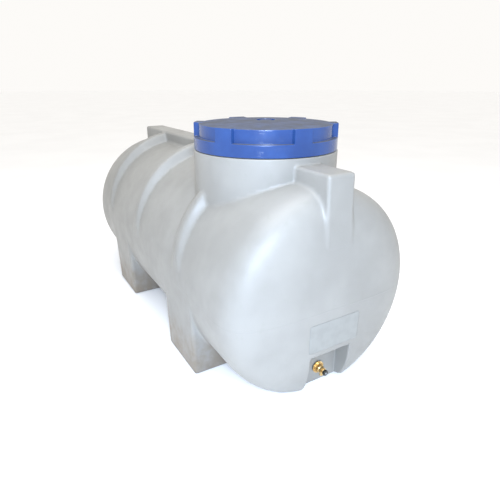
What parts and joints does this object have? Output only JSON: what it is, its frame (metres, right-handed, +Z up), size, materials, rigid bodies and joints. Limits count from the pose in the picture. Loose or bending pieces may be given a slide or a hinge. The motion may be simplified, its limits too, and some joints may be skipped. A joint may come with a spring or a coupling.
{
  "type": "horizontal poly water tank",
  "caption": "Closed horizontal plastic water tank with moulded feet, ribs and lifting lugs, a screw lid over the manway and a brass drain tap.",
  "frame": {"origin": "on the floor under the middle of the tank", "axes": "+X across the tank, +Y along it towards the plain end, -Y towards the outlet end, +Z up"},
  "size_m": [0.66, 1.4507, 0.7808],
  "materials": {
    "natural_polyethylene": "satin, slightly translucent, rotationally moulded",
    "blue_polypropylene": "glossy, injection moulded",
    "black_rubber": "matt moulded rubber",
    "black_nylon": "satin moulded nylon",
    "brass": "turned and cast, dulled",
    "white_fibre": "matt pressed fibre",
    "stainless_steel": "bright wire and screw",
    "label_vinyl": "satin blank vinyl"
  },
  "bodies": {
    "tank": {"tank_shell": "natural_polyethylene", "blank_label": "label_vinyl", "outlet_gasket_outer": "black_rubber", "outlet_body": "brass", "outlet_gasket_inner": "black_rubber", "outlet_washer": "black_nylon", "outlet_backnut": "brass", "tap_seal_ring": "white_fibre", "tap_body": "brass", "tap_packing": "white_fibre", "tap_gland_nut": "brass"},
    "lid_seal_ring": {"lid_seal": "black_rubber"},
    "lid": {"lid": "blue_polypropylene", "vent_body": "blue_polypropylene", "vent_seal": "black_rubber", "vent_nut": "black_nylon", "vent_mesh": "stainless_steel", "vent_cap": "blue_polypropylene"},
    "handle": {"tap_spindle": "brass", "tap_knob": "black_nylon", "tap_knob_screw": "stainless_steel", "valve_disc": "black_nylon"}
  },
  "joints": [
    {"name": "lid_lift", "type": "slide", "parent": "tank", "child": "lid_seal_ring", "axis": [0, 0, 1], "range_m": [0, 0.28]},
    {"name": "lid_turn", "type": "hinge", "parent": "lid_seal_ring", "child": "lid", "pos_m": [0, -0.348, 0.74], "axis": [0, 0, 1], "range_deg": [0, 540]},
    {"name": "tap_turn", "type": "hinge", "parent": "tank", "child": "handle", "pos_m": [0, -0.7, 0.057], "axis": [0, -1, 0], "range_deg": [0, 90]}
  ]
}
